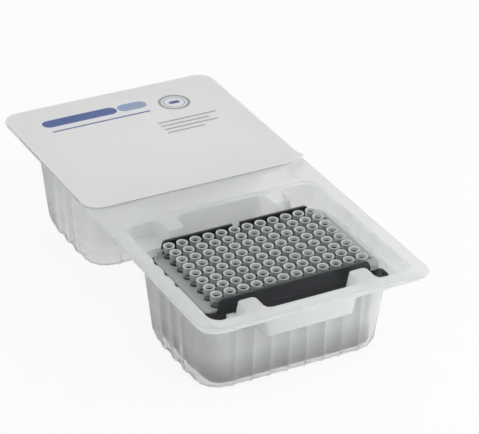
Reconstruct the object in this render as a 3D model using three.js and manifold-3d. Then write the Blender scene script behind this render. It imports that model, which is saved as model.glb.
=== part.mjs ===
// Twin blister pack of filter pipette tips.
//
// One thermoformed plastic sheet carries two wells. The front well is open and holds a black rack,
// whose smoke-grey plate carries 96 tips in 8 rows of 12. The rear well is empty, under a peel-off
// lid film whose front right corner has begun to lift.
//
// Millimetres. X runs along the rows of 12, Y from the open well to the sealed one, Z up. The origin
// is under the middle of the sheet, on the plane that the wells stand on.

import * as THREE from "three";
import { mergeVertices } from "three/addons/utils/BufferGeometryUtils.js";
import Module from "manifold-3d";

const wasm = await Module();
wasm.setup();

// ---- driving dimensions ----------------------------------------------------------------------

// Tips
const TIP_COLUMNS = 12;
const TIP_ROWS = 8;
const TIP_PITCH = 9;
const TIP_SIDES = 8;
const TIP_BODY_SIDES = 6;
const TIP_LENGTH = 46;
const TIP_COLLAR_RADIUS = 3.6;
const TIP_NECK_RADIUS = 3.1;
const TIP_SHOULDER_RADIUS = 2.7;
const TIP_END_RADIUS = 0.6;
const TIP_BORE_RADIUS = 2.75;
const FILTER_RADIUS = 2.3;
const FILTER_DEPTH = 6.5;

// Rack: a hollow box with a skirt at its foot, an ear at one corner and two raised long sides
const RACK_HEIGHT = 61.4;
const EAR_LENGTH = 12.8;
const EAR_WIDTH = 10;
const EAR_THICKNESS = 2;
const EAR_CORNER = 2.6;
const EAR_PAST_END = 2.8;
const EAR_PAST_SIDE = 4.5;
const EAR_BELOW_RIMS = 10.8;
const EAR_HOLE_RADIUS = 1.1;
const EAR_HOLE_INSET = 2.9;
const BOX_MARGIN_X = 10.5;
const BOX_MARGIN_Y = 7.5;
const BOX_CORNER = 6.5;
const BOX_TAPER = 1.5;
const SKIRT_IN_FROM_ENDS = 2.5;
const SKIRT_OUT_FROM_SIDES = 1.7;
const SKIRT_CORNER = 13;
const SKIRT_HEIGHT = 12;
const SKIRT_CHAMFER = 4.6;
const BOX_WALL = 2.2;
const SIDE_WALL = 1.8;
const SIDE_WALL_BELOW_RIMS = 0.3;
const SIDE_WALL_END_GAP = 8.5;
const SIDE_WALL_LEAN = 3;
const SIDE_NOTCH_WIDTH = 5.6;
const SIDE_NOTCH_DEPTH = 3;

// Plate that carries the tips
const PLATE_THICKNESS = 1.4;
const PLATE_BELOW_RIMS = 8.2;
const PLATE_END_GAP = 0.2;
const PLATE_SHIFT = 0.9;
const PLATE_STEP_HEIGHT = 3.7;
const PLATE_STEP_LENGTH = 7;
const PLATE_LIP = 1.2;
const PLATE_HOLE_SIZE = 1.9;
const PLATE_HOLE_OFFSET = 27;
const PLATE_HOLE_INSET = 3.7;

// Thermoformed tray: each well has a shelf, with a lower well sunk into it that fits the rack
const SHEET = 0.8;
const HEADROOM = 1.1;
const END_GAP = 4.45;
const SIDE_GAP = 4.2;
const FLOOR_EDGE_X = 4.7;
const FLOOR_EDGE_Y = 6.4;
const FLOOR_EDGE_RISE = 5.4;
const LOWER_DRAFT_X = 0.072;
const LOWER_DRAFT_Y = 0.03;
const LOWER_TOP_CORNER = 8.6;
const KNEE_CORNER = 15.6;
const SHELF_DROP = 9.1;
const SHELF_END = 2.15;
const SHELF_SIDE = 17.5;
const OPENING_CORNER = 8;
const WALL_DRAFT = 0.12;
const MARGIN_X = 10.8;
const MARGIN_Y = 11.9;
const BRIDGE = 37.9;
const SHEET_CORNER = 12;
const RECESS_GAP_X = 1.2;
const RECESS_GAP_Y = 4;
const RECESS_DROP = 7;

// Raised sealing bead round each well
const BEAD_HEIGHT = 0.6;
const BEAD_START_X = 1.7;
const BEAD_START_Y = 3.9;
const BEAD_END_X = 9.4;
const BEAD_END_Y = 9.9;
const BEAD_INNER_CORNER = 10;
const BEAD_OUTER_CORNER = 14;

// Lugs that stand in over the shelf, and the finger pockets between them
const LUG_OFFSET = 37.5;
const LUG_WIDTH = 12;
const LUG_CORNER = 2.5;
const LUG_FLARE = 4;
const LUG_SETBACK = 2.6;
const LUG_DRAFT = 0.12;
const POCKET_DEPTH = 21.6;
const POCKET_BEVEL = 1.5;

// Grooves in the end walls and ribs on the long walls
const GROOVE_COUNT = 3;
const GROOVE_PITCH = 14.2;
const GROOVE_WIDTH = 6;
const GROOVE_DEPTH = 1.2;
const RIB_COUNT = 8;
const RIB_WIDTH = 3.6;
const RIB_DEPTH = 1;
const RIB_SPREAD = 0.7;

// Lid film
const FILM_THICKNESS = 0.4;
const FILM_MARGIN = 0.4;
const FILM_OVERLAP = 0.6;
const FILM_SHIFT = 0.6;
const FILM_CORNER = 11;
const FILM_TAB_CORNER = 2;
const FILM_TAB_LIFT = 3;
const FILM_TAB_REACH = 17;

// Hollow in the bridge that gives a grip on the film's loose corner
const GRIP_DEPTH = 2.2;
const GRIP_LENGTH = 12.5;
const GRIP_WIDTH = 11;
const GRIP_SLANT = 4;

// Clearances
const SEAT_GAP = 0.3;
const CUT = 1;
const CORNER_STEPS = 4;
const SMALL_STEPS = 2;

// ---- places worked out from them -------------------------------------------------------------

const gridX = ((TIP_COLUMNS - 1) * TIP_PITCH) / 2;
const gridY = ((TIP_ROWS - 1) * TIP_PITCH) / 2;
const boxLength = 2 * (gridX + BOX_MARGIN_X);
const boxWidth = 2 * (gridY + BOX_MARGIN_Y);
const skirtLength = boxLength - 2 * SKIRT_IN_FROM_ENDS;
const skirtWidth = boxWidth + 2 * SKIRT_OUT_FROM_SIDES;
const sideWallLength = boxLength - 2 * SIDE_WALL_END_GAP;
const plateLength = boxLength - 2 * PLATE_END_GAP;
const rackZ = SHEET + SEAT_GAP;
const rimZ = rackZ + RACK_HEIGHT;
const sheetZ = rimZ + HEADROOM;
const beadZ = sheetZ + BEAD_HEIGHT;
const shelfZ = sheetZ - SHELF_DROP;
const lowerX = boxLength / 2 + END_GAP;
const lowerY = boxWidth / 2 + SIDE_GAP;
const openX = lowerX + SHELF_END;
const openY = lowerY + SHELF_SIDE;
const halfPitch = openY + BRIDGE / 2;
const sheetHalfX = openX + MARGIN_X;
const sheetHalfY = halfPitch + openY + MARGIN_Y;
const plateTop = rimZ - PLATE_BELOW_RIMS;
const deckZ = plateTop - PLATE_THICKNESS - SEAT_GAP;
const wallTop = rimZ - SIDE_WALL_BELOW_RIMS;
const earX = boxLength / 2 + EAR_PAST_END - EAR_LENGTH / 2;
const earY = -(boxWidth / 2 + EAR_PAST_SIDE - EAR_WIDTH / 2);

// Levels of the lower well's inner surface, from its floor to the shelf.
const kneeZ = SHEET + FLOOR_EDGE_RISE;
const kneeX = lowerX - LOWER_DRAFT_X * (shelfZ - kneeZ);
const kneeY = lowerY - LOWER_DRAFT_Y * (shelfZ - kneeZ);
const lowerLevels = [0, 45, 90].map((degrees) => {
  const angle = THREE.MathUtils.degToRad(degrees);
  const inwards = 1 - Math.sin(angle);
  return {
    z: SHEET + FLOOR_EDGE_RISE * (1 - Math.cos(angle)),
    x: kneeX - FLOOR_EDGE_X * inwards,
    y: kneeY - FLOOR_EDGE_Y * inwards,
    corner: KNEE_CORNER - FLOOR_EDGE_X * inwards,
  };
});
lowerLevels.push({ z: shelfZ, x: lowerX, y: lowerY, corner: LOWER_TOP_CORNER });

// ---- helpers ---------------------------------------------------------------------------------

// Anticlockwise outline of a rectangle with rounded corners, centred on (cx, cy).
function roundedRect(halfX, halfY, corner, cx = 0, cy = 0, steps = CORNER_STEPS) {
  const points = [];
  const centres = [
    [halfX - corner, halfY - corner],
    [corner - halfX, halfY - corner],
    [corner - halfX, corner - halfY],
    [halfX - corner, corner - halfY],
  ];
  centres.forEach(([x, y], quarter) => {
    for (let step = 0; step <= steps; step += 1) {
      const angle = (quarter + step / steps) * (Math.PI / 2);
      const px = cx + x + corner * Math.cos(angle);
      const py = cy + y + corner * Math.sin(angle);
      points.push(new THREE.Vector2(px, py));
    }
  });
  return points;
}

// Closed skin through rings of equal point counts, each an anticlockwise outline at its own height.
function loft(rings) {
  const count = rings[0].points.length;
  const positions = rings.flatMap(({ z, points }) => points.flatMap((p) => [p.x, p.y, z]));
  const index = [];
  for (let ring = 0; ring < rings.length - 1; ring += 1) {
    for (let i = 0; i < count; i += 1) {
      const a = ring * count + i;
      const b = ring * count + ((i + 1) % count);
      index.push(a, b, b + count, a, b + count, a + count);
    }
  }
  const last = (rings.length - 1) * count;
  THREE.ShapeUtils.triangulateShape(rings[0].points, []).forEach(([a, b, c]) => {
    index.push(c, b, a);
  });
  THREE.ShapeUtils.triangulateShape(rings.at(-1).points, []).forEach(([a, b, c]) => {
    index.push(last + a, last + b, last + c);
  });
  const geometry = new THREE.BufferGeometry();
  geometry.setAttribute("position", new THREE.Float32BufferAttribute(positions, 3));
  geometry.setIndex(index);
  return geometry;
}

// Straight prism of an outline from one height to another.
function prism(points, bottom, top) {
  const shape = new THREE.Shape(points);
  const geometry = new THREE.ExtrudeGeometry(shape, { depth: top - bottom, bevelEnabled: false });
  return geometry.translate(0, 0, bottom);
}

function box(x0, x1, y0, y1, z0, z1) {
  const geometry = new THREE.BoxGeometry(x1 - x0, y1 - y0, z1 - z0);
  return geometry.translate((x0 + x1) / 2, (y0 + y1) / 2, (z0 + z1) / 2);
}

// A closed three.js geometry as a manifold-3d solid, for joining and cutting.
function solid(geometry) {
  const bare = geometry.clone();
  bare.deleteAttribute("normal");
  bare.deleteAttribute("uv");
  const merged = mergeVertices(bare, 1e-5);
  return new wasm.Manifold(
    new wasm.Mesh({
      numProp: 3,
      vertProperties: new Float32Array(merged.attributes.position.array),
      triVerts: new Uint32Array(merged.index.array),
    }),
  );
}

function joined(geometries) {
  return wasm.Manifold.union(geometries.map(solid));
}

function toGeometry(manifold) {
  const mesh = manifold.getMesh();
  const geometry = new THREE.BufferGeometry();
  geometry.setAttribute("position", new THREE.BufferAttribute(mesh.vertProperties, mesh.numProp));
  geometry.setIndex(new THREE.BufferAttribute(mesh.triVerts, 1));
  geometry.computeVertexNormals();
  return geometry;
}

// Evenly spaced places, centred on zero.
function spread(count, pitch) {
  return Array.from({ length: count }, (_, i) => (i - (count - 1) / 2) * pitch);
}

// ---- blister tray ----------------------------------------------------------------------------

// Half-round grooves of an end wall, as [along, out] points from one end of the wall to the other.
function endWallPoints(grow) {
  const root = GROOVE_WIDTH / 2 + RIB_SPREAD * grow;
  const crest = root / 2;
  return spread(GROOVE_COUNT, GROOVE_PITCH).flatMap((middle) => [
    [middle - root, 0],
    [middle - crest, GROOVE_DEPTH],
    [middle + crest, GROOVE_DEPTH],
    [middle + root, 0],
  ]);
}

// Ribs of a long wall, which fill the flat between its corners.
function longWallPoints(grow) {
  const root = RIB_WIDTH / 2 + RIB_SPREAD * grow;
  const flat = Math.min(...lowerLevels.map((level) => level.x - level.corner));
  const pitch = (2 * (flat - RIB_WIDTH / 2 - SHEET)) / (RIB_COUNT - 1);
  return spread(RIB_COUNT, pitch).flatMap((middle) => [
    [middle - root, 0],
    [middle, RIB_DEPTH],
    [middle + root, 0],
  ]);
}

// Anticlockwise outline of a well: four walls, each with its own points, and a corner after each.
function wellOutline(level, grow, endPoints, longPoints) {
  const corner = level.corner + grow;
  const endWall = { points: endPoints, out: level.x + grow, half: level.y + grow };
  const longWall = { points: longPoints, out: level.y + grow, half: level.x + grow };
  const outline = [];
  [endWall, longWall, endWall, longWall].forEach((wall, quarter) => {
    const turn = (quarter * Math.PI) / 2;
    const add = (along, out) => {
      const x = out * Math.cos(turn) - along * Math.sin(turn);
      const y = out * Math.sin(turn) + along * Math.cos(turn);
      outline.push(new THREE.Vector2(x, y));
    };
    wall.points.forEach(([along, out]) => add(along, wall.out + out));
    for (let step = 0; step <= CORNER_STEPS; step += 1) {
      const angle = (step / CORNER_STEPS) * (Math.PI / 2);
      const along = wall.half - corner * (1 - Math.sin(angle));
      const out = wall.out - corner * (1 - Math.cos(angle));
      add(along, out);
    }
  });
  return outline;
}

// Lower well, with grooved ends and ribbed sides. `grow` moves its surface outwards by the
// thickness of the sheet, here and in the functions below.
function lowerWell(grow) {
  const rings = lowerLevels.map((level) => ({
    z: level.z < shelfZ ? level.z - grow : level.z,
    points: wellOutline(level, grow, endWallPoints(grow), longWallPoints(grow)),
  }));
  const top = rings.at(-1);
  return loft([...rings, { z: top.z + CUT, points: top.points }]);
}

// Upper well, from the shelf to the opening, with grooved ends.
function upperWell(grow) {
  const top = grow > 0 ? sheetZ : sheetZ + CUT;
  const opening = { x: openX, y: openY, corner: OPENING_CORNER };
  const narrower = WALL_DRAFT * SHELF_DROP;
  const shelf = { x: openX - narrower / 2, y: openY - narrower, corner: OPENING_CORNER };
  const openingPoints = wellOutline(opening, grow, endWallPoints(grow), []);
  return loft([
    { z: shelfZ - grow, points: wellOutline(shelf, grow, endWallPoints(grow), []) },
    { z: sheetZ - CUT, points: openingPoints },
    { z: top, points: openingPoints },
  ]);
}

// Finger pocket, which is deeper than the shelf. Its ends lie inside the two lugs.
function fingerPocket(grow, side) {
  const end = LUG_OFFSET + grow;
  const ring = (z, narrower) => {
    const outer = side * (openY + grow - narrower);
    const inner = side * (lowerY - LUG_SETBACK);
    const outline = [
      new THREE.Vector2(-end, side > 0 ? inner : outer),
      new THREE.Vector2(end, side > 0 ? inner : outer),
      new THREE.Vector2(end, side > 0 ? outer : inner),
      new THREE.Vector2(-end, side > 0 ? outer : inner),
    ];
    return { z, points: outline };
  };
  const drop = POCKET_DEPTH + grow;
  const above = grow > 0 ? 0 : CUT;
  return loft([
    ring(sheetZ - drop, WALL_DRAFT * drop + POCKET_BEVEL),
    ring(sheetZ - drop + POCKET_BEVEL, WALL_DRAFT * drop),
    ring(sheetZ - CUT, 0),
    ring(sheetZ + above, 0),
  ]);
}

// Outline of a lug, `fall` below the sheet, flared where it leaves the wall.
function lugOutline(grow, fall, side, centreX) {
  const half = LUG_WIDTH / 2 - grow + LUG_DRAFT * fall;
  const end = lowerY + LUG_SETBACK + grow - LUG_DRAFT * fall;
  const base = openY + grow - WALL_DRAFT * fall;
  const flank = [new THREE.Vector2(half + LUG_FLARE, base + 2 * CUT)];
  for (let step = 0; step <= SMALL_STEPS; step += 1) {
    const angle = (step / SMALL_STEPS) * (Math.PI / 2);
    const x = half + LUG_FLARE * (1 - Math.sin(angle));
    const y = base - LUG_FLARE * (1 - Math.cos(angle));
    flank.push(new THREE.Vector2(x, y));
  }
  for (let step = 0; step <= SMALL_STEPS; step += 1) {
    const angle = (step / SMALL_STEPS) * (Math.PI / 2);
    const x = half - LUG_CORNER * (1 - Math.cos(angle));
    const y = end + LUG_CORNER * (1 - Math.sin(angle));
    flank.push(new THREE.Vector2(x, y));
  }
  const mirrored = flank.map((p) => new THREE.Vector2(-p.x, p.y)).reverse();
  const outline = [...flank, ...mirrored].map((p) => {
    return new THREE.Vector2(centreX + p.x, side * p.y);
  });
  return THREE.ShapeUtils.area(outline) > 0 ? outline : outline.reverse();
}

function lug(grow, side, centreX) {
  const fall = POCKET_DEPTH + SHEET + CUT;
  const topPoints = lugOutline(grow, 0, side, centreX);
  return loft([
    { z: sheetZ - fall, points: lugOutline(grow, fall, side, centreX) },
    { z: sheetZ, points: topPoints },
    { z: sheetZ + 2 * CUT, points: topPoints },
  ]);
}

// Recess in the shelf at a front corner. The right one clears the ear of the rack.
function earRecess(grow, side) {
  const halfX = EAR_LENGTH / 2 + RECESS_GAP_X + grow;
  const halfY = EAR_WIDTH / 2 + RECESS_GAP_Y + grow;
  const outline = roundedRect(halfX, halfY, EAR_CORNER + grow, side * earX, earY);
  return prism(outline, shelfZ - RECESS_DROP - grow, shelfZ + CUT);
}

// The space of one well: what lies over the shelf and pockets less the lugs, and the lower well.
function wellSpace(grow) {
  const over = joined([upperWell(grow), fingerPocket(grow, -1), fingerPocket(grow, 1)]);
  const lugs = [-1, 1].flatMap((side) => {
    return [-LUG_OFFSET, LUG_OFFSET].map((x) => lug(grow, side, x));
  });
  const recesses = [-1, 1].map((side) => earRecess(grow, side));
  return over.subtract(joined(lugs)).add(joined([lowerWell(grow), ...recesses]));
}

// Ridge that the lid film is sealed to.
function bead() {
  const bottom = sheetZ - SHEET / 2;
  const outer = roundedRect(openX + BEAD_END_X, openY + BEAD_END_Y, BEAD_OUTER_CORNER);
  const inner = roundedRect(openX + BEAD_START_X, openY + BEAD_START_Y, BEAD_INNER_CORNER);
  return solid(prism(outer, bottom, beadZ)).subtract(solid(prism(inner, bottom - CUT, beadZ + CUT)));
}

// Hollow beside the film's loose corner: narrow towards the open well, wide under the film.
function gripHollow(grow) {
  const wide = halfPitch - openY - BEAD_END_Y;
  const right = sheetHalfX - FILM_MARGIN - FILM_TAB_CORNER;
  const outline = [
    new THREE.Vector2(right - GRIP_WIDTH - GRIP_SLANT - grow, wide - GRIP_LENGTH - grow),
    new THREE.Vector2(right - GRIP_WIDTH + grow, wide - GRIP_LENGTH - grow),
    new THREE.Vector2(right + grow, wide - SHEET + grow),
    new THREE.Vector2(right - GRIP_WIDTH - grow, wide - SHEET + grow),
  ];
  return prism(outline, sheetZ - GRIP_DEPTH - grow, grow > 0 ? sheetZ : sheetZ + CUT);
}

function blisterTray() {
  const sheet = solid(
    prism(roundedRect(sheetHalfX, sheetHalfY, SHEET_CORNER), sheetZ - SHEET, sheetZ),
  );
  const outside = wellSpace(SHEET).add(bead());
  const inside = wellSpace(0);
  let tray = sheet.add(solid(gripHollow(SHEET)));
  [-halfPitch, halfPitch].forEach((y) => {
    tray = tray.add(outside.translate([0, y, 0]));
  });
  [-halfPitch, halfPitch].forEach((y) => {
    tray = tray.subtract(inside.translate([0, y, 0]));
  });
  return toGeometry(tray.subtract(solid(gripHollow(0))));
}

// ---- rack ------------------------------------------------------------------------------------

// Box of the rack with its skirt, made smaller all round by `inset`.
function boxBody(inset, bottom, top) {
  const ring = (z, length, width, corner) => {
    return { z, points: roundedRect(length / 2 - inset, width / 2 - inset, corner - inset) };
  };
  const chamfered = 2 * SKIRT_CHAMFER;
  const skirtTop = rackZ + SKIRT_HEIGHT;
  const taper = 2 * BOX_TAPER;
  return loft([
    ring(bottom, skirtLength - chamfered, skirtWidth - chamfered, SKIRT_CORNER - SKIRT_CHAMFER),
    ring(rackZ + SKIRT_CHAMFER, skirtLength, skirtWidth, SKIRT_CORNER),
    ring(skirtTop, skirtLength, skirtWidth, SKIRT_CORNER),
    ring(skirtTop + SKIRT_CHAMFER / 2, skirtLength, boxWidth - taper, SKIRT_CORNER),
    ring(deckZ, boxLength, boxWidth, BOX_CORNER),
    ring(top, boxLength, boxWidth, BOX_CORNER),
  ]);
}

// Outline, in (x, z), of a long side wall: upright with leaning, rounded ends.
function sideWallOutline(bottom) {
  const half = sideWallLength / 2;
  const shape = new THREE.Shape();
  shape.moveTo(-half, bottom);
  shape.lineTo(half, bottom);
  shape.lineTo(half, deckZ + PLATE_THICKNESS);
  shape.quadraticCurveTo(half, wallTop, half - SIDE_WALL_LEAN, wallTop);
  shape.lineTo(SIDE_WALL_LEAN - half, wallTop);
  shape.quadraticCurveTo(-half, wallTop, -half, deckZ + PLATE_THICKNESS);
  return shape.extractPoints(CORNER_STEPS).shape;
}

function sideWall(side, clearance) {
  const thickness = SIDE_WALL + 2 * clearance;
  const geometry = prism(sideWallOutline(deckZ - SHEET), 0, thickness);
  geometry.rotateX(Math.PI / 2);
  const outerFace = boxWidth / 2 + clearance;
  return geometry.translate(0, side > 0 ? outerFace : thickness - outerFace, 0);
}

// Ear at the front right corner, with a hole through it.
function ear() {
  const top = rimZ - EAR_BELOW_RIMS;
  const outline = roundedRect(EAR_LENGTH / 2, EAR_WIDTH / 2, EAR_CORNER, earX, earY);
  const through = EAR_THICKNESS + 2 * CUT;
  const hole = new THREE.CylinderGeometry(EAR_HOLE_RADIUS, EAR_HOLE_RADIUS, through, TIP_SIDES);
  hole.rotateX(Math.PI / 2);
  hole.translate(
    earX + EAR_LENGTH / 2 - EAR_HOLE_INSET,
    earY - EAR_WIDTH / 2 + EAR_HOLE_INSET,
    top - EAR_THICKNESS / 2,
  );
  return solid(prism(outline, top - EAR_THICKNESS, top)).subtract(solid(hole));
}

function rackBase() {
  const notch = box(
    -SIDE_NOTCH_WIDTH / 2,
    SIDE_NOTCH_WIDTH / 2,
    boxWidth / 2 - SIDE_WALL - CUT,
    boxWidth / 2 + CUT,
    wallTop - SIDE_NOTCH_DEPTH,
    wallTop + CUT,
  );
  const shell = joined([boxBody(0, rackZ, deckZ), sideWall(-1, 0), sideWall(1, 0)]).add(ear());
  const space = joined([boxBody(BOX_WALL, rackZ - CUT, deckZ + CUT), notch]);
  return toGeometry(shell.subtract(space));
}

// ---- tip plate -------------------------------------------------------------------------------

function plateOutline(inset) {
  return roundedRect(
    plateLength / 2 - inset,
    boxWidth / 2 - inset,
    BOX_CORNER - inset,
    PLATE_SHIFT,
    0,
  );
}

// Flat plate with a raised step at its right end and a lip along its back left corner.
function plateBody() {
  const bottom = plateTop - PLATE_THICKNESS;
  const stepTop = plateTop + PLATE_STEP_HEIGHT;
  const right = PLATE_SHIFT + plateLength / 2;
  const left = PLATE_SHIFT - plateLength / 2;
  const raised = solid(prism(plateOutline(0), bottom, stepTop));
  const stepZone = box(right - PLATE_STEP_LENGTH, right, -boxWidth, boxWidth, bottom, stepTop);
  const step = raised.intersect(solid(stepZone));
  const lipRing = raised.subtract(solid(prism(plateOutline(PLATE_LIP), bottom - CUT, stepTop + CUT)));
  const lipZone = box(left, -sideWallLength / 2, BOX_CORNER, boxWidth, bottom, stepTop);
  const lip = lipRing.intersect(solid(lipZone));
  const body = solid(prism(plateOutline(0), bottom, plateTop)).add(step).add(lip);
  const holes = [-1, 1].map((side) => {
    const hole = new THREE.CylinderGeometry(
      PLATE_HOLE_SIZE,
      PLATE_HOLE_SIZE,
      stepTop - bottom + 2 * CUT,
      3,
    );
    hole.rotateX(Math.PI / 2);
    const x = right - PLATE_HOLE_INSET;
    return hole.translate(x, side * PLATE_HOLE_OFFSET, (stepTop + bottom) / 2);
  });
  const walls = [sideWall(-1, SEAT_GAP), sideWall(1, SEAT_GAP)];
  return body.subtract(joined([...holes, ...walls]));
}

// One tip, turned: a tapering body, and a collar with a socket down to its filter.
function tip(x, y) {
  const waist = plateTop - PLATE_THICKNESS / 2;
  const body = [
    new THREE.Vector2(0, rimZ - TIP_LENGTH),
    new THREE.Vector2(TIP_END_RADIUS, rimZ - TIP_LENGTH),
    new THREE.Vector2(TIP_SHOULDER_RADIUS, waist),
    new THREE.Vector2(0, waist),
  ];
  const collar = [
    new THREE.Vector2(0, waist),
    new THREE.Vector2(TIP_NECK_RADIUS, waist),
    new THREE.Vector2(TIP_COLLAR_RADIUS, rimZ),
    new THREE.Vector2(TIP_BORE_RADIUS, rimZ),
    new THREE.Vector2(FILTER_RADIUS, rimZ - FILTER_DEPTH),
    new THREE.Vector2(0, rimZ - FILTER_DEPTH),
  ];
  return [new THREE.LatheGeometry(body, TIP_BODY_SIDES), new THREE.LatheGeometry(collar, TIP_SIDES)].map(
    (geometry) => geometry.rotateX(Math.PI / 2).translate(x, y, 0),
  );
}

function tipPlate() {
  const tips = spread(TIP_COLUMNS, TIP_PITCH).flatMap((x) => {
    return spread(TIP_ROWS, TIP_PITCH).flatMap((y) => tip(x, y));
  });
  return toGeometry(plateBody().add(joined(tips)));
}

// ---- lid film --------------------------------------------------------------------------------

// How far the film has risen at a point, seen from its front right corner.
function tabLift(x, y, cornerX, cornerY) {
  const away = Math.hypot(cornerX - x, y - cornerY) / FILM_TAB_REACH;
  return away < 1 ? FILM_TAB_LIFT * (1 - away) ** 2 : 0;
}

// Shortening of the film's half width at `y` where a corner of radius `corner` rounds it off.
function cornerTrim(y, end, corner) {
  const into = corner - Math.abs(end - y);
  return into > 0 ? corner - Math.sqrt(Math.max(corner * corner - into * into, 0)) : 0;
}

function lidFilm() {
  const halfX = sheetHalfX - FILM_MARGIN;
  const front = halfPitch + FILM_SHIFT - openY - BEAD_END_Y - FILM_OVERLAP;
  const back = halfPitch + FILM_SHIFT + openY + BEAD_END_Y + FILM_OVERLAP;
  const columns = [0, 0.86, 0.92, 0.96, 1];
  const nearRows = [0, 0.005, 0.014, 0.03, 0.05, 0.077, 0.12];
  const farRows = [0.923, 0.95, 0.97, 0.986, 0.995, 1];
  const rows = [...nearRows, ...farRows];
  const positions = [];
  [0, FILM_THICKNESS].forEach((height) => {
    rows.forEach((row) => {
      const y = front + (back - front) * row;
      const trimBack = cornerTrim(y, back, FILM_CORNER);
      const left = -halfX + cornerTrim(y, front, FILM_CORNER) + trimBack;
      const right = halfX - cornerTrim(y, front, FILM_TAB_CORNER) - trimBack;
      columns.forEach((column) => {
        const x = left + (right - left) * column;
        positions.push(x, y, beadZ + SEAT_GAP + height + tabLift(x, y, halfX, front));
      });
    });
  });
  return gridSkin(positions, columns.length, rows.length);
}

// Closed skin over two equal grids of points, the first below the second.
function gridSkin(positions, across, along) {
  const index = [];
  const layer = across * along;
  const quad = (a, b, c, d) => index.push(a, b, c, a, c, d);
  for (let row = 0; row < along - 1; row += 1) {
    for (let column = 0; column < across - 1; column += 1) {
      const a = row * across + column;
      quad(layer + a, layer + a + 1, layer + a + across + 1, layer + a + across);
      quad(a, a + across, a + across + 1, a + 1);
    }
  }
  for (let column = 0; column < across - 1; column += 1) {
    const far = (along - 1) * across + column;
    quad(column, column + 1, layer + column + 1, layer + column);
    quad(far + 1, far, layer + far, layer + far + 1);
  }
  for (let row = 0; row < along - 1; row += 1) {
    const left = row * across;
    const right = left + across - 1;
    quad(left + across, left, layer + left, layer + left + across);
    quad(right, right + across, layer + right + across, layer + right);
  }
  const geometry = new THREE.BufferGeometry();
  geometry.setAttribute("position", new THREE.Float32BufferAttribute(positions, 3));
  geometry.setIndex(index);
  return geometry;
}

// ---- assembly --------------------------------------------------------------------------------

const trayPlastic = { color: 0xdfe1e0, roughness: 0.35, metalness: 0 };
const blackPlastic = { color: 0x22262b, roughness: 0.45, metalness: 0 };
const smokePlastic = { color: 0xa9adae, roughness: 0.3, metalness: 0 };
const filmWhite = { color: 0xe2e2df, roughness: 0.55, metalness: 0 };

function piece(name, geometry, finish, y = 0) {
  const mesh = new THREE.Mesh(geometry, new THREE.MeshStandardMaterial(finish));
  mesh.name = name;
  mesh.position.set(0, y, 0);
  return mesh;
}

const group = new THREE.Group();
group.add(piece("blister_tray", blisterTray(), trayPlastic));
group.add(piece("rack_base", rackBase(), blackPlastic, -halfPitch));
group.add(piece("tip_plate", tipPlate(), smokePlastic, -halfPitch));
group.add(piece("lid_film", lidFilm(), filmWhite));

export default group;
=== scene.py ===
# %% [markdown]
# # Twin blister pack of racked pipette tips
#
# The pack is one thermoformed sheet with two wells. The near well is open and holds a black rack,
# whose grey plate carries 96 filter tips. The far well is empty, under its lid film.
#
# The CAD solids are loaded first, because they fix every size. Each step below then gives one of
# them its real finish, or puts a finer piece in its place.

# %% The frame
import math

import bmesh
import bpy
from mathutils import Matrix, Vector


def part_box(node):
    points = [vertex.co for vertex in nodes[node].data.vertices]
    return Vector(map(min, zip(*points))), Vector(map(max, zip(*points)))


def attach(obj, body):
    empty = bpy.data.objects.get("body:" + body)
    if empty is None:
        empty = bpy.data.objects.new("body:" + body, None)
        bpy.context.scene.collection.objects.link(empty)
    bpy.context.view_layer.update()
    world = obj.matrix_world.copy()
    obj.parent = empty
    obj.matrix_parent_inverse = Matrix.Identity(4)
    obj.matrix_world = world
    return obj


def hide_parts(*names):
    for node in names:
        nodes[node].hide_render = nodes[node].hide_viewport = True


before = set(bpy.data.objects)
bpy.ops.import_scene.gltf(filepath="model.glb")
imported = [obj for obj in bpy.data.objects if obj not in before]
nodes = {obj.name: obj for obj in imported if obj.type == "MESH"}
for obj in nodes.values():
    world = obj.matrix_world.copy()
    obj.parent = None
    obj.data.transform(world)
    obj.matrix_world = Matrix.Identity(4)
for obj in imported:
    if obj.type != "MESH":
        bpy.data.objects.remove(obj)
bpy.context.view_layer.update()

MM = 0.001
print("CAD nodes:", sorted(nodes))

# %% [markdown]
# ## Helpers for modelling
#
# A Blender operator acts on whatever is selected. A step that forgets this changes the wrong piece.
# So every step starts with nothing selected, makes its own piece active, and picks points, edges or
# faces by where they are. These few helpers do just that, and the steps stay short.


# %% Helpers for selecting and editing
def only(piece):
    """Select one object and nothing else, and make it active."""
    bpy.ops.object.select_all(action="DESELECT")
    piece.select_set(True)
    bpy.context.view_layer.objects.active = piece


def edit(piece):
    """Go into edit mode with one object, and return its edit mesh."""
    only(piece)
    bpy.ops.object.mode_set(mode="EDIT")
    return bmesh.from_edit_mesh(piece.data)


def leave_edit():
    bpy.ops.object.mode_set(mode="OBJECT")


def pick(mesh, kind, wanted):
    """Select the points, edges or faces of an edit mesh for which `wanted` is true."""
    bpy.ops.mesh.select_mode(type=kind)
    bpy.ops.mesh.select_all(action="DESELECT")
    parts = {"VERT": mesh.verts, "EDGE": mesh.edges, "FACE": mesh.faces}[kind]
    for part in parts:
        if wanted(part):
            part.select_set(True)
    mesh.select_flush_mode()


def middle(face):
    points = [vert.co for vert in face.verts]
    return sum(points, Vector()) / len(points)


# %% Helpers for whole pieces
def put_at_origin(piece):
    """Move a new piece's place and size into its mesh."""
    only(piece)
    bpy.ops.object.transform_apply(location=True, rotation=True, scale=True)
    return piece


def apply_modifier(piece, kind, **settings):
    only(piece)
    modifier = piece.modifiers.new(kind.title(), kind)
    for key, value in settings.items():
        setattr(modifier, key, value)
    bpy.ops.object.modifier_apply(modifier=modifier.name)


def smooth(piece, degrees):
    """Smooth shading that keeps every edge sharper than this angle."""
    only(piece)
    bpy.ops.object.shade_smooth_by_angle(angle=math.radians(degrees))


def triangles(piece):
    piece.data.calc_loop_triangles()
    return len(piece.data.loop_triangles)


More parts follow.
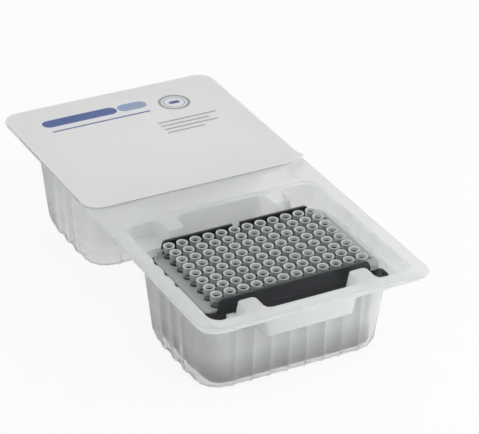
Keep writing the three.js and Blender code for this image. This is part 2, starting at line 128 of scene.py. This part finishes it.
# %% Helper that makes a piece from a CAD solid
MERGED = 0.01 * MM  # points closer than this become one
FLAT = math.radians(1)  # faces that meet at less than this become one
ROUNDED = math.radians(30)  # edges sharper than this get a radius
SHADED_SHARP = 35  # and in degrees, edges sharper than this are shaded as edges


def refined_copy(node, name, radius):
    """A merged copy of a CAD solid with rounded edges, which then stands for it."""
    solid = nodes[node]
    piece = bpy.data.objects.new(name, solid.data.copy())
    bpy.context.scene.collection.objects.link(piece)
    edit(piece)
    bpy.ops.mesh.select_all(action="SELECT")
    bpy.ops.mesh.remove_doubles(threshold=MERGED)
    bpy.ops.mesh.dissolve_limited(angle_limit=FLAT)
    leave_edit()
    apply_modifier(
        piece,
        "BEVEL",
        width=radius,
        segments=2,
        limit_method="ANGLE",
        angle_limit=ROUNDED,
        use_clamp_overlap=True,
    )
    smooth(piece, SHADED_SHARP)
    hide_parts(node)
    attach(piece, "root")
    print(f"{name}: {triangles(piece)} triangles")
    return piece


# %% [markdown]
# ## Helpers for materials
#
# Colours are easiest to read as the hex values of a paint chart. Blender works with linear light,
# so one function turns the one into the other. Another adds a node and links its inputs, because a
# material is only a chain of nodes.


# %% Helpers for colours and nodes
def linear(hex_colour):
    """An sRGB hex colour as linear red, green, blue and alpha."""
    channels = [int(hex_colour[i : i + 2], 16) / 255 for i in (1, 3, 5)]
    return [c / 12.92 if c <= 0.04045 else ((c + 0.055) / 1.055) ** 2.4 for c in channels] + [1]


def add_node(owner, kind, settings=None, out=0, **inputs):
    """Add a node to a material or the world, and return one of its outputs.

    An input is a value or the output of another node. It goes by its name, or by its number
    after an underscore where several inputs share a name.
    """
    tree = owner.node_tree
    node = tree.nodes.new(kind)
    for key, value in (settings or {}).items():
        setattr(node, key, value)
    for key, value in inputs.items():
        label = int(key[1:]) if key[1:].isdigit() else key.replace("_", " ")
        if isinstance(value, bpy.types.NodeSocket):
            tree.links.new(value, node.inputs[label])
        else:
            node.inputs[label].default_value = value
    return node.outputs[out] if node.outputs else None


def new_material(name, build):
    """A material whose shader is what `build` returns for it."""
    material = bpy.data.materials.new(name)
    material.use_nodes = True
    material.node_tree.nodes.clear()
    add_node(material, "ShaderNodeOutputMaterial", Surface=build(material))
    return material


def dress(piece, material):
    """Give a piece its material."""
    piece.data.materials.clear()
    piece.data.materials.append(material)
    print(f"{piece.name}: {material.name}")


# %% [markdown]
# ## The tray
#
# The real tray is a sheet of milky polypropylene, heated and drawn down into a mould. Drawing leaves
# no sharp edge, so every edge of the solid is rounded here. A new mesh could be modelled instead,
# but a rounded copy of the solid keeps the walls, ribs and pockets exactly where the part has them.

# %% The tray's mesh
tray = refined_copy("blister_tray", "tray", radius=0.5 * MM)

# %% [markdown]
# ## Milky plastic
#
# Unfilled polypropylene is neither clear nor white. Tiny crystals in it scatter a part of the light,
# and the rest goes straight through. So the material is a mix. One share is a clear, slightly rough
# plastic, which shows what stands behind it. The other share is milk, which scatters light back to
# its own side and on to the far side. Glass alone would be too clear, and white paint too dull.


# %% Helpers for milky plastic and its surface
def uneven(material, across, depth, detail=2.0):
    """A slightly uneven surface, with bumps `across` metres wide, and `depth` at full strength."""
    place = add_node(material, "ShaderNodeTexCoord", out="Object")
    noise = add_node(
        material, "ShaderNodeTexNoise", Vector=place, Scale=1 / across, Detail=detail
    )
    return add_node(material, "ShaderNodeBump", Strength=0.1, Distance=depth, Height=noise)


def milky_plastic(material, milk, passed_on, glass, colour, roughness, surface):
    """Clear plastic tinted `glass`, mixed with milk that passes a share on to its far side."""
    # The real plastic has an IOR of 1.49. The walls here are thicker than the real ones, and a
    # lower value makes up for that.
    clear = add_node(
        material,
        "ShaderNodeBsdfPrincipled",
        Base_Color=glass,
        Roughness=roughness,
        IOR=1.3,
        Transmission_Weight=1.0,
        Normal=surface,
    )
    back = add_node(material, "ShaderNodeBsdfDiffuse", Color=colour, Normal=surface)
    onwards = add_node(material, "ShaderNodeBsdfTranslucent", Color=colour, Normal=surface)
    scattered = add_node(material, "ShaderNodeMixShader", _0=passed_on, _1=back, _2=onwards)
    return add_node(material, "ShaderNodeMixShader", _0=milk, _1=clear, _2=scattered)


# %% [markdown]
# ## The tray's polypropylene
#
# The deeper a mould draws the sheet, the thinner the sheet gets. The rim keeps its full thickness
# and its milk. Near the floor the sheet is thin and clear, so that the black rack shows through it.
# A material that follows the height gives this with one number at each end.
#
# Light that has to run along a sheet, and not straight through it, gets lost on its way, and this
# darkens a sheet seen edge on a little. Tinting the clear share dark where the sheet turns edge on
# goes further: it is painted shade, which draws thin dark lines round grooves and edges. A texture
# could paint such lines too, but this puts them in the right places by itself.


# %% The tray's material
THIN_BELOW, THICK_ABOVE = 5 * MM, 26 * MM
EDGE_ON = 5.0


def thermoformed_sheet(material):
    """Milky sheet, clearer towards the floor, where it was drawn thinnest."""
    place = add_node(material, "ShaderNodeTexCoord", out="Object")
    height = add_node(material, "ShaderNodeSeparateXYZ", out="Z", Vector=place)
    milk = add_node(
        material,
        "ShaderNodeMapRange",
        Value=height,
        From_Min=THIN_BELOW,
        From_Max=THICK_ABOVE,
        To_Min=0.18,
        To_Max=0.48,
    )
    # A high power stays near 0 until the sheet is seen almost edge on.
    turned = add_node(material, "ShaderNodeLayerWeight", out="Facing", Blend=0.5)
    # Painted shade: the clear share turns dark where the sheet is seen edge on.
    painted_edge_shade = add_node(material, "ShaderNodeMath", {"operation": "POWER"}, _0=turned, _1=EDGE_ON)
    glass = add_node(
        material,
        "ShaderNodeMix",
        {"data_type": "RGBA"},
        out=2,
        _0=painted_edge_shade,
        _6=linear("#FFFFFF"),
        _7=linear("#20272B"),
    )
    return milky_plastic(
        material,
        milk,
        passed_on=0.35,
        glass=glass,
        colour=linear("#F4F6F6"),
        roughness=0.08,
        surface=uneven(material, across=16.7 * MM, depth=0.4 * MM),
    )


sheet = new_material("thermoformed polypropylene sheet", thermoformed_sheet)
dress(tray, sheet)

# %% [markdown]
# ## The rack
#
# The rack is an injection-moulded box, open below, with two long walls that hold the plate between
# them. Its solid already has every wall and notch, so it is made as the tray was. A steel mould
# leaves its edges crisp, so they get a smaller radius than the tray's.

# %% The rack's mesh
rack = refined_copy("rack_base", "rack", radius=0.4 * MM)

# %% [markdown]
# ## Black polypropylene
#
# Black pigment hides all inner scattering, so only the surface counts, and one shader is enough.
# It is a blue-black satin, with the grain that an etched mould leaves. Without a grain it would look
# like varnish. The real grain is finer than a tenth of a millimetre, and is drawn coarser here, so
# that it breaks up the reflections a little.


# %% The rack's material
def black_satin(material):
    """Black satin moulding. The rough surface gives a soft sheen and no mirror image."""
    return add_node(
        material,
        "ShaderNodeBsdfPrincipled",
        Base_Color=linear("#10151B"),
        Roughness=0.42,
        IOR=1.49,
        Normal=uneven(material, across=1.11 * MM, depth=0.3 * MM),
    )


dress(rack, new_material("black moulded polypropylene", black_satin))

# %% [markdown]
# ## One tip
#
# A filter tip stands in a hole of the plate. On top is a smooth collar with a funnel for a mouth.
# The neck under it has fine upright ribs, and the body tapers to a point down in the rack. All of
# this is round, so the tip is built as on a potter's wheel: one ring is drawn up or down, and made
# wider or narrower, again and again. Spinning an outline round an axis would give the same shape,
# but rings need no mending where an outline meets its axis. The ribs come last, by pulling in every
# other point of the neck.

# %% Sizes that the tips take from the solids
COLUMNS, ROWS, PITCH = 12, 8, 9 * MM
plate_low, plate_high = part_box("tip_plate")
WELL_Y = (plate_low.y + plate_high.y) / 2
RIM_Z = plate_high.z
print(f"rims at {RIM_Z / MM:.1f} mm, well centre at {WELL_Y / MM:.2f} mm")


def under_rim(millimetres):
    """The height of a point this far below the rims of the tips."""
    return RIM_Z - millimetres * MM


PLATE_TOP = under_rim(8.2)


# %% Helper that turns a profile
def lathe(name, profile, sides):
    """A turned shape in the middle of the well: (radius, height) rings, extruded one by one."""
    bpy.ops.object.select_all(action="DESELECT")
    radius, height = profile[0]
    bpy.ops.mesh.primitive_circle_add(
        vertices=sides, radius=radius, fill_type="NGON", location=(0, WELL_Y, height)
    )
    piece = put_at_origin(bpy.context.object)
    piece.name = name
    edit(piece)
    bpy.ops.mesh.select_all(action="SELECT")
    for next_radius, next_height in profile[1:]:
        step = (0, 0, next_height - height)
        bpy.ops.mesh.extrude_region_move(TRANSFORM_OT_translate={"value": step})
        wider = next_radius / radius
        bpy.ops.transform.resize(
            value=(wider, wider, 1), center_override=(0, WELL_Y, next_height)
        )
        radius, height = next_radius, next_height
    bpy.ops.mesh.select_all(action="SELECT")
    bpy.ops.mesh.normals_make_consistent(inside=False)
    leave_edit()
    return piece


# %% The tip's profile, from its point up to the rim and down into its mouth
SIDES = 24
NECK, COLLAR, BORE = 3.05 * MM, 3.6 * MM, 1.75 * MM
NECK_TOP = under_rim(4.7)
TIP_PROFILE = [
    (0.6 * MM, plate_low.z),  # the point
    (2.55 * MM, under_rim(9.7)),  # the top of the long taper
    (NECK, PLATE_TOP),
    (NECK, NECK_TOP),
    (3.5 * MM, under_rim(4.1)),  # the foot of the collar
    (COLLAR, under_rim(0.45)),
    (3.52 * MM, under_rim(0.12)),  # the rounded rim
    (3.4 * MM, under_rim(0.0)),
    (3.2 * MM, under_rim(0.08)),
    (2.1 * MM, under_rim(0.9)),  # the foot of the funnel
    (BORE, under_rim(1.2)),
    (BORE, under_rim(6.6)),
]
tip = lathe("tip", TIP_PROFILE, SIDES)
print(f"smooth tip: {triangles(tip)} triangles")

# %% The ribs on its neck
GROOVE = 0.86  # the share of the neck's radius that is left in a groove
NEAR = 0.1 * MM
TURNED_SHARP = 32  # in degrees
mesh = edit(tip)


def on_groove(vert):
    """Every other point of the neck's two rings."""
    on_neck = PLATE_TOP - NEAR < vert.co.z < NECK_TOP + NEAR
    turn = math.atan2(vert.co.y - WELL_Y, vert.co.x) / (2 * math.pi) * SIDES
    return on_neck and round(turn) % 2 == 0


pick(mesh, "VERT", on_groove)
bpy.ops.transform.resize(value=(GROOVE, GROOVE, 1), center_override=(0, WELL_Y, 0))
leave_edit()
smooth(tip, TURNED_SHARP)
print(f"grooves: {NECK * (1 - GROOVE) / MM:.2f} mm deep")

# %% [markdown]
# ## The filter
#
# A plug of sintered polyethylene sits in each bore and keeps aerosol out of the pipette. Only its
# round top can be seen, below the funnel, so a plain turned plug with a broken edge is enough.

# %% The filter's mesh
PLUG = BORE - 0.05 * MM
BROKEN_EDGE = 0.3 * MM
FILTER_PROFILE = [
    (PLUG, under_rim(6.5)),
    (PLUG, under_rim(1.9)),
    (PLUG - BROKEN_EDGE, under_rim(1.7)),
]
plug = lathe("filter", FILTER_PROFILE, sides=16)
smooth(plug, TURNED_SHARP)
print(f"filter: {triangles(plug)} triangles")

# %% [markdown]
# ## Ninety-six of each
#
# The rack holds twelve columns and eight rows, 9 mm apart, the usual spacing of 96 places in a
# laboratory. The tip and the filter were modelled once. They are now copied to all places, and
# joined into one piece each. An array modifier would also do it, but a loop can fill the rack with
# anything, and the plate needs its holes at the same places.


# %% Filling the rack
def fill_rack(master, name):
    """Copies of a piece at all places of the rack, joined. The master itself is removed."""
    copies = []
    for column in range(COLUMNS):
        for row in range(ROWS):
            copy = bpy.data.objects.new(name, master.data.copy())
            bpy.context.scene.collection.objects.link(copy)
            x = (column - (COLUMNS - 1) / 2) * PITCH
            y = (row - (ROWS - 1) / 2) * PITCH
            copy.data.transform(Matrix.Translation((x, y, 0)))
            copies.append(copy)
    bpy.data.objects.remove(master)
    only(copies[0])
    for copy in copies:
        copy.select_set(True)
    bpy.ops.object.join()
    joined = bpy.context.object
    print(f"{name}: {triangles(joined)} triangles")
    return joined


tips = fill_rack(tip, "tips")
filters = fill_rack(plug, "filters")
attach(tips, "root")
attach(filters, "root")
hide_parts("tip_plate")

# %% [markdown]
# ## Plastic of the tips
#
# The tips are natural polypropylene too, but thin and well polished. The neck is almost clear, so
# that the rack and the plate show through it. The collar has some milk. The rim is made almost all
# milk, and its white is a painted highlight, for the bright ring of a wall that is seen end on. Two
# ramps along the height give this, and at each height the larger one counts.


# %% The tips' material
def polished_thin_wall(material):
    """Thin polished moulding, with rims made milky as a painted highlight, slightly milky collars
    and clear necks.
    """
    place = add_node(material, "ShaderNodeTexCoord", out="Object")
    height = add_node(material, "ShaderNodeSeparateXYZ", out="Z", Vector=place)
    collar = add_node(
        material,
        "ShaderNodeMapRange",
        Value=height,
        From_Min=under_rim(5.5),
        From_Max=under_rim(3.8),
        To_Min=0.07,
        To_Max=0.3,
    )
    # The rim's high milk is a painted highlight, for the bright ring of a wall seen end on.
    rim = add_node(
        material,
        "ShaderNodeMapRange",
        Value=height,
        From_Min=under_rim(1.0),
        From_Max=under_rim(0.1),
        To_Min=0.0,
        To_Max=0.9,
    )
    tint = linear("#EEF3F1")
    return milky_plastic(
        material,
        add_node(material, "ShaderNodeMath", {"operation": "MAXIMUM"}, _0=collar, _1=rim),
        passed_on=0.25,
        glass=tint,
        colour=tint,
        roughness=0.08,
        surface=uneven(material, across=2.5 * MM, depth=0.2 * MM),
    )


dress(tips, new_material("natural moulded polypropylene", polished_thin_wall))

# %% [markdown]
# ## Sintered polyethylene
#
# Sintering welds small grains of plastic together and leaves pores between them. Such a face is
# quite matt. Its dark grey colour here is painted shade, for the shadow down in the narrow bore.
# The real grains are about a tenth of a millimetre wide, and are drawn coarser here.


# %% The filters' material
def porous_plug(material):
    """Matt porous plug, coloured dark grey as painted shade of the bore: the dark spot in each
    mouth.
    """
    # The dark grey is painted shade of the narrow bore.
    return add_node(
        material,
        "ShaderNodeBsdfPrincipled",
        Base_Color=linear("#2A2F31"),
        Roughness=0.85,
        Normal=uneven(material, across=0.667 * MM, depth=0.6 * MM),
    )


dress(filters, new_material("sintered polyethylene filter", porous_plug))

# %% [markdown]
# ## The plate
#
# The tips stand in a smoke-grey moulded plate. Its right end is stepped up, with two small
# triangular holes in it. A lip runs round its back left corner. It could be drawn as an outline,
# but it is mostly a box: so it starts as a flat one with rounded corners, and the step and the lip
# are pulled up out of its top.
#
# The holes come last. They are cut with tools of their own shape, because cutting leaves the rest
# of the top as it is. The step is hollow underneath, so that one looks through its triangular holes
# into the dark.


# %% Helper for a flat box with rounded upright edges
def slab(name, low, high, corner):
    """A box between two opposite corners, with its upright edges rounded to a radius."""
    bpy.ops.object.select_all(action="DESELECT")
    size = high - low
    bpy.ops.mesh.primitive_cube_add(size=1, location=(low + high) / 2, scale=size)
    piece = put_at_origin(bpy.context.object)
    piece.name = name
    mesh = edit(piece)
    pick(mesh, "EDGE", lambda edge: abs(edge.verts[0].co.z - edge.verts[1].co.z) > size.z / 2)
    bpy.ops.mesh.bevel(offset=corner, segments=6)
    leave_edit()
    return piece


# %% The plate's sizes
THICK, CORNER = 1.4 * MM, 4 * MM
HALF_DEPTH = 36 * MM
front, back = WELL_Y - HALF_DEPTH, WELL_Y + HALF_DEPTH
step_x = plate_high.x - 7 * MM
lip_x = plate_low.x + 7.4 * MM
lip_y = back - 6 * MM
print(f"plate: {(plate_high.x - plate_low.x) / MM:.1f} by {(back - front) / MM:.1f} mm")

# %% The plate's slab, cut along the edges of the step and the lip
plate = slab(
    "plate",
    low=Vector((plate_low.x, front, PLATE_TOP - THICK)),
    high=Vector((plate_high.x, back, PLATE_TOP)),
    corner=CORNER,
)
edit(plate)
ALONG_X, ALONG_Y = Vector((1, 0, 0)), Vector((0, 1, 0))
for normal, cut in [(ALONG_X, step_x), (ALONG_X, lip_x), (ALONG_Y, lip_y)]:
    bpy.ops.mesh.select_all(action="SELECT")
    bpy.ops.mesh.bisect(plane_co=cut * normal, plane_no=normal)
leave_edit()
print(f"plate slab: {triangles(plate)} triangles")

# %% The step, pulled up out of the slab's right end
STEP_RISE = 2.2 * MM
mesh = edit(plate)


def is_top(face):
    return face.normal.z > 0.9


pick(mesh, "FACE", lambda face: is_top(face) and middle(face).x > step_x)
bpy.ops.mesh.extrude_region_move(TRANSFORM_OT_translate={"value": (0, 0, STEP_RISE)})
leave_edit()
print(f"plate with its step: {triangles(plate)} triangles")

# %% The back left corner, and a narrow band set in round it
LIP, LIP_RISE = 1.2 * MM, 3.5 * MM
mesh = edit(plate)


def at_lip_corner(face):
    spot = middle(face)
    return is_top(face) and spot.x < lip_x and spot.y > lip_y


pick(mesh, "FACE", at_lip_corner)
bpy.ops.mesh.inset(thickness=LIP)
leave_edit()
print(f"plate with its band: {triangles(plate)} triangles")

# %% The lip, pulled up out of the part of the band along the plate's own outline
mesh = edit(plate)


def on_lip(face):
    """Band faces whose middle is less than 0.8 of the lip's width from the outline."""
    if not at_lip_corner(face):
        return False
    spot = middle(face)
    past_x = max(plate_low.x + CORNER - spot.x, 0)
    past_y = max(spot.y - back + CORNER, 0)
    return math.hypot(past_x, past_y) > CORNER - 0.8 * LIP


pick(mesh, "FACE", on_lip)
bpy.ops.mesh.extrude_region_move(TRANSFORM_OT_translate={"value": (0, 0, LIP_RISE)})
leave_edit()
print(f"plate with step and lip: {triangles(plate)} triangles")


# %% Helper for cutting, and a hole for each tip
def cut_out(piece, tool):
    """Cut the tool's shape out of a piece, and remove the tool."""
    apply_modifier(piece, "BOOLEAN", object=tool, operation="DIFFERENCE", solver="EXACT")
    bpy.data.objects.remove(tool)


TIP_HOLE = 3.3 * MM
bpy.ops.object.select_all(action="DESELECT")
bpy.ops.mesh.primitive_cylinder_add(
    vertices=SIDES, radius=TIP_HOLE, depth=4 * MM, location=(0, WELL_Y, PLATE_TOP)
)
cut_out(plate, fill_rack(put_at_origin(bpy.context.object), "holes"))
print(f"plate with its holes: {triangles(plate)} triangles")

# %% The hollow under the step
SKIN = 0.5 * MM
hollow = slab(
    "hollow",
    low=Vector((step_x + THICK, front + THICK, PLATE_TOP - 2 * THICK)),
    high=Vector((plate_high.x - THICK, back - THICK, PLATE_TOP + STEP_RISE - SKIN)),
    corner=1.5 * MM,
)
cut_out(plate, hollow)
print(f"plate with its hollow: {triangles(plate)} triangles")

# %% Two triangular holes through the step, and the finished edges
TRIANGLE = 2.2 * MM
triangle_x = plate_high.x - 2.9 * MM
FROM_MIDDLE = 27.2 * MM
for y in (WELL_Y - FROM_MIDDLE, WELL_Y + FROM_MIDDLE):
    bpy.ops.object.select_all(action="DESELECT")
    bpy.ops.mesh.primitive_cylinder_add(
        vertices=3, radius=TRIANGLE, depth=10 * MM, location=(triangle_x, y, PLATE_TOP)
    )
    cut_out(plate, put_at_origin(bpy.context.object))
apply_modifier(plate, "BEVEL", width=0.25 * MM, segments=2, limit_method="ANGLE")
smooth(plate, SHADED_SHARP)
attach(plate, "root")
print(f"plate: {triangles(plate)} triangles")

# %% [markdown]
# ## Smoke-grey polypropylene
#
# A little grey pigment goes into the same milky plastic, so that it is almost opaque. Grey paint
# would be simpler, but this still darkens a little where the black rack lies under it. Its grain is
# drawn coarser than the real one.


# %% The plate's material
def smoky_moulding(material):
    """Tinted milky moulding, almost opaque, with a soft gloss."""
    smoke = linear("#D8DADA")
    return milky_plastic(
        material,
        milk=0.8,
        passed_on=0.2,
        glass=smoke,
        colour=smoke,
        roughness=0.25,
        surface=uneven(material, across=1.43 * MM, depth=0.3 * MM),
    )


dress(plate, new_material("smoke-grey moulded polypropylene", smoky_moulding))

# %% [markdown]
# ## The lid film
#
# The lid is a thin film, welded to the raised bead round the far well. Its front right corner was
# left loose, as a tab to pull. It starts as one flat face, whose corners are rounded. Then it is cut
# into a fine grid, because only a mesh with inner points can bend.

# %% The film's flat face
# The film lies as high above the solid's underside as its slack waves are deep.
SLACK = 0.1 * MM
film_low, film_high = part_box("lid_film")
film_size = film_high - film_low
film_middle = (film_low + film_high) / 2
bpy.ops.object.select_all(action="DESELECT")
bpy.ops.mesh.primitive_plane_add(
    size=1, location=(film_middle.x, film_middle.y, film_low.z + SLACK)
)
film = bpy.context.object
film.name = "film"
film.scale = (film_size.x, film_size.y, 1)
put_at_origin(film)
print(f"film: {film_size.x / MM:.1f} by {film_size.y / MM:.1f} mm")

# %% Its corners: three wide ones, and a small one at the tab
tab = Vector((film_high.x, film_low.y, film_low.z))
mesh = edit(film)


def at_tab(vert):
    return (vert.co - tab).length < 1 * MM


pick(mesh, "VERT", lambda vert: not at_tab(vert))
bpy.ops.mesh.bevel(offset=11 * MM, segments=8, affect="VERTICES")
mesh = bmesh.from_edit_mesh(film.data)
pick(mesh, "VERT", at_tab)
bpy.ops.mesh.bevel(offset=2 * MM, segments=3, affect="VERTICES")
leave_edit()
print(f"film's outline: {len(film.data.vertices)} points")

# %% The grid
GRID = 3 * MM
edit(film)
for axis in (0, 1):
    cut = film_low[axis] + GRID
    while cut < film_high[axis] - GRID / 2:
        point, normal = Vector(), Vector()
        point[axis], normal[axis] = cut, 1
        bpy.ops.mesh.select_all(action="SELECT")
        bpy.ops.mesh.bisect(plane_co=point, plane_no=normal)
        cut += GRID
leave_edit()
print(f"film's grid: {triangles(film)} triangles")

# %% The loose corner, a little slack, and the film's thickness
LIFT, REACH = 3 * MM, 17 * MM
WAVE_X, WAVE_Y = 23 * MM, 31 * MM
for vert in film.data.vertices:
    away = math.hypot(vert.co.x - tab.x, vert.co.y - tab.y) / REACH
    wave = math.sin(vert.co.x / WAVE_X) * math.sin(vert.co.y / WAVE_Y)
    vert.co.z += SLACK * wave + LIFT * max(1 - away, 0) ** 2
apply_modifier(film, "SOLIDIFY", thickness=0.2 * MM, offset=1)
smooth(film, SHADED_SHARP)
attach(film, "root")
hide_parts("lid_film")
print(f"film: {triangles(film)} triangles")

# %% [markdown]
# ## The film's print
#
# A real lid carries the maker's print. This one belongs to no maker, so it has plain shapes: three
# bars in two blues, a grey and a blue ring round a small bar, and four thin grey bars where small
# text would be. Images could hold such a print. Shapes worked out from the place on the film stay
# sharp at every distance, and each one can be moved by changing one line.
#
# Every shape is a rounded bar. The distance from the bar's core line is measured, and wherever it is
# less than the radius, there is ink. A bar of no length is a dot, and a dot with a smaller dot of
# paper on it is a ring.


# %% Helper for printed shapes
def bar(material, left, right, y, radius):
    """1 inside a round-ended bar from left to right, and 0 outside. All sizes are in metres."""
    core = ((left + right) / 2, y, 0)
    half = ((right - left) / 2, 0, 0)
    spot = add_node(material, "ShaderNodeTexCoord", out="Object")
    for operation, other in [
        ("MULTIPLY", (1, 1, 0)),  # the height doesn't count
        ("SUBTRACT", core),
        ("ABSOLUTE", (0, 0, 0)),  # left and right become one. The second vector isn't used
        ("SUBTRACT", half),
        ("MAXIMUM", (0, 0, 0)),  # beside the bar, only the way across it counts
    ]:
        settings = {"operation": operation}
        spot = add_node(material, "ShaderNodeVectorMath", settings, _0=spot, _1=other)
    distance = add_node(
        material, "ShaderNodeVectorMath", {"operation": "LENGTH"}, out="Value", _0=spot
    )
    return add_node(material, "ShaderNodeMath", {"operation": "LESS_THAN"}, _0=distance, _1=radius)


# %% The print: ink, left end, right end, y and radius of each bar, in millimetres
BLUE, PALE_BLUE, GREY = "#3D5DA6", "#9DB0D3", "#A3A7AC"
PAPER = "#FAFAFA"
PRINT = [
    (BLUE, -52, -8, 127, 5.0),
    (PALE_BLUE, 3, 14, 127, 5.0),
    (BLUE, -54, 16, 115.5, 0.8),
    (GREY, 37, 37, 120, 11.0),
    (PAPER, 37, 37, 120, 9.0),
    (PALE_BLUE, 37, 37, 120, 7.6),
    (PAPER, 37, 37, 120, 6.8),
    (BLUE, 35, 39, 120, 2.0),
    (GREY, 14, 56, 96, 0.8),
    (GREY, 14, 48, 91, 0.8),
    (GREY, 14, 52, 86, 0.8),
    (GREY, 14, 40, 81, 0.8),
]
print(f"print: {len(PRINT)} shapes")


# %% The film's material
def printed_film(material):
    """Satin white film that lets a little light down into the well, with its print."""
    colour = linear(PAPER)
    for ink, left, right, y, radius in PRINT:
        inside = bar(material, left * MM, right * MM, y * MM, radius * MM)
        colour = add_node(
            material,
            "ShaderNodeMix",
            {"data_type": "RGBA"},
            out=2,
            _0=inside,
            _6=colour,
            _7=linear(ink),
        )
    top = add_node(
        material,
        "ShaderNodeBsdfPrincipled",
        Base_Color=colour,
        Roughness=0.42,
        IOR=1.5,
        Normal=uneven(material, across=8.33 * MM, depth=0.4 * MM, detail=4.0),
    )
    through = add_node(material, "ShaderNodeBsdfTranslucent", Color=linear("#F0F0EE"))
    return add_node(material, "ShaderNodeMixShader", _0=0.3, _1=top, _2=through)


dress(film, new_material("printed sealing film", printed_film))

# %% [markdown]
# ## The floor
#
# The pack stands on a white table. A white floor would turn grey in the pack's own shade, so what
# the camera sees is mostly a plain white glow. The rest is real paint, which keeps a faint shadow.
# Clear plastic must show the same white behind it, so rays that pass through plastic see it too.


# %% Helper for a plain white that only some rays see
def seen_by(owner, *kinds):
    """1 for rays of these kinds, and 0 for all others."""
    seen = 0.0
    for kind in kinds:
        ray = add_node(owner, "ShaderNodeLightPath", out=kind)
        seen = add_node(owner, "ShaderNodeMath", {"operation": "MAXIMUM"}, _0=seen, _1=ray)
    return seen


# %% The floor
def white_table(material):
    """White paint. The camera and rays through plastic see it as a mostly plain white."""
    paint = add_node(material, "ShaderNodeBsdfDiffuse", Color=linear("#F6F6F6"))
    glow = add_node(material, "ShaderNodeEmission", Color=linear("#FFFFFF"), Strength=1.0)
    bright = add_node(material, "ShaderNodeMixShader", _0=0.88, _1=paint, _2=glow)
    seen = seen_by(material, "Is Camera Ray", "Is Transmission Ray")
    return add_node(material, "ShaderNodeMixShader", _0=seen, _1=paint, _2=bright)


bpy.ops.object.select_all(action="DESELECT")
bpy.ops.mesh.primitive_plane_add(size=12, location=(0, 0, 0))
floor = bpy.context.object
floor.name = "floor"
floor.data.materials.append(new_material("white table", white_table))
print(f"floor: {floor.dimensions.x:.0f} m wide")

# %% [markdown]
# ## Light
#
# White plastic on white needs light from the sides, or its upright walls go grey while its top
# burns out. So the studio is a tent: bright at the horizon and dimmer overhead. A soft box at the
# right gives the shapes a light side. A small low one, also from the right, lights the foot of the
# front wall and shines in between that wall and the black rack.

# %% The tent of white cloth
world = bpy.data.worlds.new("tent")
bpy.context.scene.world = world
world.use_nodes = True
world.node_tree.nodes.clear()
direction = add_node(world, "ShaderNodeTexCoord", out="Generated")
rise = add_node(world, "ShaderNodeSeparateXYZ", out="Z", Vector=direction)
cloth = add_node(
    world, "ShaderNodeMapRange", Value=rise, From_Min=0.0, From_Max=1.0, To_Min=0.95, To_Max=0.7
)
soft = add_node(world, "ShaderNodeBackground", Color=linear("#FFFFFF"), Strength=cloth)
white = add_node(world, "ShaderNodeBackground", Color=linear("#FFFFFF"), Strength=1.0)
seen = seen_by(world, "Is Camera Ray", "Is Glossy Ray", "Is Transmission Ray")
mixed = add_node(world, "ShaderNodeMixShader", _0=seen, _1=soft, _2=white)
add_node(world, "ShaderNodeOutputWorld", Surface=mixed)
print(f"tent: {len(world.node_tree.nodes)} nodes")


# %% The two soft boxes
def soft_box(name, place, aim, width, watts):
    """A square lamp at a place, turned so that it faces the point `aim`."""
    bpy.ops.object.light_add(type="AREA", location=place)
    lamp = bpy.context.object
    lamp.name = name
    lamp.data.shape = "SQUARE"
    lamp.data.size = width
    lamp.data.energy = watts
    lamp.rotation_euler = (Vector(aim) - Vector(place)).to_track_quat("-Z", "Y").to_euler()
    print(f"{name}: {watts} W")


soft_box("side_box", place=(0.9, -0.5, 0.6), aim=(0, 0, 0), width=0.6, watts=2.3)
soft_box("low_box", place=(0.34, -0.5, 0.035), aim=(0.05, -0.14, 0.03), width=0.07, watts=1.4)

# %% [markdown]
# ## Camera
#
# The camera stands to the left of the front, looks down at 30 degrees, and uses a long lens, as a
# catalogue would. A long lens keeps the far well almost as large as the near one.

# %% The camera
AZIMUTH, ELEVATION, ROLL = math.radians(-28.09), math.radians(29.57), math.radians(0.85)
PLACE = Vector((-0.58187, -1.13634, 0.76993))
flat = math.cos(ELEVATION)
backwards = Vector((math.sin(AZIMUTH) * flat, -math.cos(AZIMUTH) * flat, math.sin(ELEVATION)))
level = Vector((math.cos(AZIMUTH), math.sin(AZIMUTH), 0))
upright = backwards.cross(level)
right = math.cos(ROLL) * level + math.sin(ROLL) * upright
up = math.cos(ROLL) * upright - math.sin(ROLL) * level
camera = bpy.data.objects.new("camera", bpy.data.cameras.new("camera"))
bpy.context.scene.collection.objects.link(camera)
turn = Matrix((right, up, backwards)).transposed().to_4x4()
camera.matrix_world = Matrix.Translation(PLACE) @ turn
camera.data.sensor_width = 36
camera.data.lens = 173.13
camera.data.clip_start = 0.1
bpy.context.scene.camera = camera
print(f"camera: lens of {camera.data.lens:.0f} mm, {PLACE.length:.2f} m from the origin")

# %% [markdown]
# ## Finish
#
# The plain view transform shows colours as they were written.

# %% View settings and the end
bpy.context.scene.view_settings.view_transform = "Standard"
